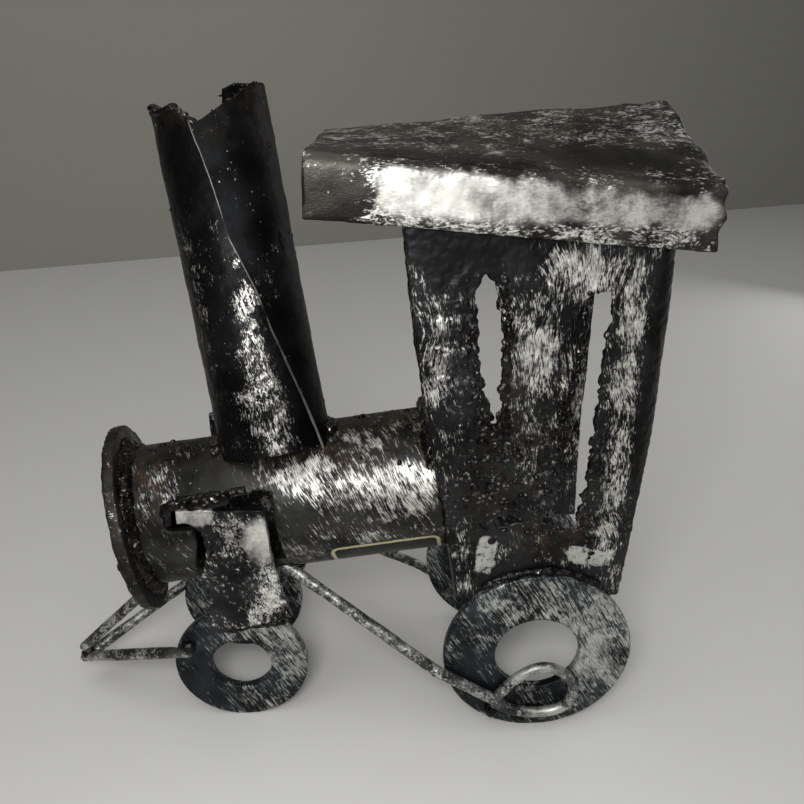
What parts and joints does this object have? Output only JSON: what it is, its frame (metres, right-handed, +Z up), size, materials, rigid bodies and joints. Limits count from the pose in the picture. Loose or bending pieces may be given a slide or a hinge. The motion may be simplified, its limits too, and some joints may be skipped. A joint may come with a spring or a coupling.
{
  "type": "model steam engine",
  "caption": "Hand-welded model of a small steam locomotive: tube boiler, tall leaning chimney, open cab with a bent sheet roof, washer wheels and wire rods.",
  "frame": {"origin": "middle of the bounding box on the plane that the wheels stand on", "axes": "+X from the engine's front to its cab, +Y from the near side to the far side, +Z up"},
  "size_m": [0.1319, 0.0503, 0.1326],
  "materials": {
    "pipe_steel": "blackened steel pipe, worn bright in brushed patches",
    "sheet_steel": "blackened sheet, brushed bright on the raised areas",
    "washer_steel": "dark washer steel with fine scratches",
    "wire": "drawn mild-steel wire, lightly sooted",
    "weld_slag": "rough weld metal and slag"
  },
  "bodies": {
    "root": {"boiler_tube": "pipe_steel", "smokebox_plate": "pipe_steel", "chimney_pipe": "pipe_steel", "near_front_leg": "sheet_steel", "far_front_leg": "sheet_steel", "near_front_wheel": "washer_steel", "far_front_wheel": "washer_steel", "near_rear_wheel": "washer_steel", "far_rear_wheel": "washer_steel", "cab_near_side": "sheet_steel", "cab_far_side": "sheet_steel", "cab_front_plate": "sheet_steel", "cab_roof": "sheet_steel", "pilot_wire": "wire", "pilot_brace": "wire", "near_connecting_rod": "wire", "near_rod_loop": "wire", "far_connecting_rod": "wire", "smokebox_weld": "weld_slag", "chimney_weld": "weld_slag", "boiler_cab_weld": "weld_slag", "cab_corner_welds": "weld_slag", "roof_welds": "weld_slag", "front_leg_welds": "weld_slag", "front_wheel_welds": "weld_slag", "rear_wheel_welds": "weld_slag", "rod_welds": "weld_slag", "pilot_welds": "weld_slag"}
  },
  "joints": []
}
